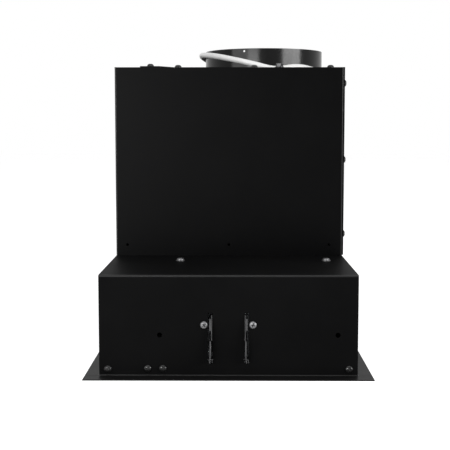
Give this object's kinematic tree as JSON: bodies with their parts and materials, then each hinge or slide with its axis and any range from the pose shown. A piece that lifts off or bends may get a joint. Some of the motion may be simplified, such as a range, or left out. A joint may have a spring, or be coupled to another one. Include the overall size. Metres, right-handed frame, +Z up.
{
  "type": "built-in range hood",
  "caption": "Built-in range hood: long low canopy with drop-down grease filters, blower box and round duct collar with backdraft flaps and a wound mains cord.",
  "frame": {"origin": "centre of the mounting flange's underside, at the object's base", "axes": "+X to the right end for a user standing in front (the end nearest the camera in the picture), +Y to the rear, +Z up to the duct"},
  "size_m": [0.72, 0.285, 0.343],
  "materials": {
    "black_paint": "semi-gloss with a fine texture",
    "black_gloss": "gloss",
    "black_screw": "satin black oxide",
    "zinc": "zinc plated, satin",
    "bright_screw": "bright nickel",
    "spring_steel": "satin",
    "aluminium": "fine brushed",
    "mesh": "expanded mesh layers",
    "rubber": "matt",
    "dark_plastic": "fine grain",
    "button_plastic": "satin grey",
    "white_plastic": "moulded white",
    "cord_jacket": "soft white jacket",
    "galvanised": "galvanised sheet",
    "steel": "ground",
    "lamination": "stacked sheets",
    "winding": "enamelled copper wire",
    "lens": "frosted",
    "led_board": "white board with yellow chips",
    "circuit_board": "green solder mask",
    "terminal": "moulded ivory"
  },
  "bodies": {
    "hood": {"canopy_shell": "black_paint", "front_panel": "black_paint", "rear_panel": "black_paint", "end_screws": "black_screw", "canopy_braces": "zinc", "ledge_screws": "bright_screw", "clip_bases": "zinc", "clip_screws": "bright_screw", "blower_box": "black_paint", "rear_cover": "black_paint", "rear_cover_screws": "black_screw", "blower_roof": "black_paint", "roof_screws": "black_screw", "earth_screw": "zinc", "service_plate": "black_paint", "duct_collar": "black_gloss", "collar_fixings": "black_screw", "damper_rod": "steel", "scroll_wrap": "galvanised", "scroll_side_left": "galvanised", "scroll_side_right": "galvanised", "motor_can": "zinc", "motor_stator": "winding", "motor_bracket": "zinc", "motor_bushes": "rubber", "motor_screws": "bright_screw", "capacitor": "white_plastic", "wiring_box": "galvanised", "terminal_block": "terminal", "led_driver": "white_plastic", "under_frame": "black_paint", "lamp_bezels": "zinc", "lamp_lenses": "lens", "lamp_boards": "led_board", "switch_bezel": "dark_plastic", "switch_body": "dark_plastic", "control_board": "circuit_board", "cord_elbow": "white_plastic", "power_cord": "cord_jacket", "cord_coil": "cord_jacket", "cord_tie": "rubber", "power_plug": "white_plastic"},
    "rotor": {"impeller": "aluminium", "motor_shaft": "steel", "motor_rotor": "lamination"},
    "flap_near": {"damper_flap_near": "dark_plastic"},
    "flap_far": {"damper_flap_far": "dark_plastic"},
    "filter_left": {"filter_frame_left": "aluminium", "filter_mesh_left": "mesh"},
    "filter_right": {"filter_frame_right": "aluminium", "filter_mesh_right": "mesh"},
    "latch_left": {"filter_latch_left": "dark_plastic"},
    "latch_right": {"filter_latch_right": "dark_plastic"},
    "clip_left": {"clip_spring_left": "spring_steel"},
    "clip_right": {"clip_spring_right": "spring_steel"},
    "off_key": {"button_off": "button_plastic"},
    "low_key": {"button_low": "button_plastic"},
    "medium_key": {"button_medium": "button_plastic"},
    "high_key": {"button_high": "button_plastic"},
    "light_key": {"button_light": "button_plastic"}
  },
  "joints": [
    {"name": "impeller_spin", "type": "hinge", "parent": "hood", "child": "rotor", "pos_m": [0, -0.009, 0.21506], "axis": [1, 0, 0], "continuous": true},
    {"name": "near_flap_swing", "type": "hinge", "parent": "hood", "child": "flap_near", "pos_m": [0, 0.044, 0.319], "axis": [0, -1, 0], "range_deg": [0, 80]},
    {"name": "far_flap_swing", "type": "hinge", "parent": "hood", "child": "flap_far", "pos_m": [0, 0.044, 0.319], "axis": [0, 1, 0], "range_deg": [0, 80]},
    {"name": "left_filter_drop", "type": "hinge", "parent": "hood", "child": "filter_left", "pos_m": [-0.168, 0.111, 0.009], "axis": [1, 0, 0], "range_deg": [0, 80]},
    {"name": "left_latch_slide", "type": "slide", "parent": "filter_left", "child": "latch_left", "axis": [0, 1, 0], "range_m": [0, 0.005], "stiffness_N_per_m": 300, "springref_m": -0.001},
    {"name": "left_clip_flex", "type": "hinge", "parent": "hood", "child": "clip_left", "pos_m": [-0.3402, 0, 0.0617], "axis": [0, -1, 0], "range_deg": [0, 18], "stiffness_Nm_per_rad": 2.2, "springref_deg": -1.15},
    {"name": "right_filter_drop", "type": "hinge", "parent": "hood", "child": "filter_right", "pos_m": [0.168, 0.111, 0.009], "axis": [1, 0, 0], "range_deg": [0, 80]},
    {"name": "right_latch_slide", "type": "slide", "parent": "filter_right", "child": "latch_right", "axis": [0, 1, 0], "range_m": [0, 0.005], "stiffness_N_per_m": 300, "springref_m": -0.001},
    {"name": "right_clip_flex", "type": "hinge", "parent": "hood", "child": "clip_right", "pos_m": [0.3402, 0, 0.0617], "axis": [0, 1, 0], "range_deg": [0, 18], "stiffness_Nm_per_rad": 2.2, "springref_deg": -1.15},
    {"name": "off_key_push", "type": "slide", "parent": "hood", "child": "off_key", "axis": [0, 0, 1], "range_m": [0, 0.0025], "stiffness_N_per_m": 400, "springref_m": -0.0005},
    {"name": "low_key_push", "type": "slide", "parent": "hood", "child": "low_key", "axis": [0, 0, 1], "range_m": [0, 0.0025], "stiffness_N_per_m": 400, "springref_m": -0.0005},
    {"name": "medium_key_push", "type": "slide", "parent": "hood", "child": "medium_key", "axis": [0, 0, 1], "range_m": [0, 0.0025], "stiffness_N_per_m": 400, "springref_m": -0.0005},
    {"name": "high_key_push", "type": "slide", "parent": "hood", "child": "high_key", "axis": [0, 0, 1], "range_m": [0, 0.0025], "stiffness_N_per_m": 400, "springref_m": -0.0005},
    {"name": "light_key_push", "type": "slide", "parent": "hood", "child": "light_key", "axis": [0, 0, 1], "range_m": [0, 0.0025], "stiffness_N_per_m": 400, "springref_m": -0.0005}
  ]
}
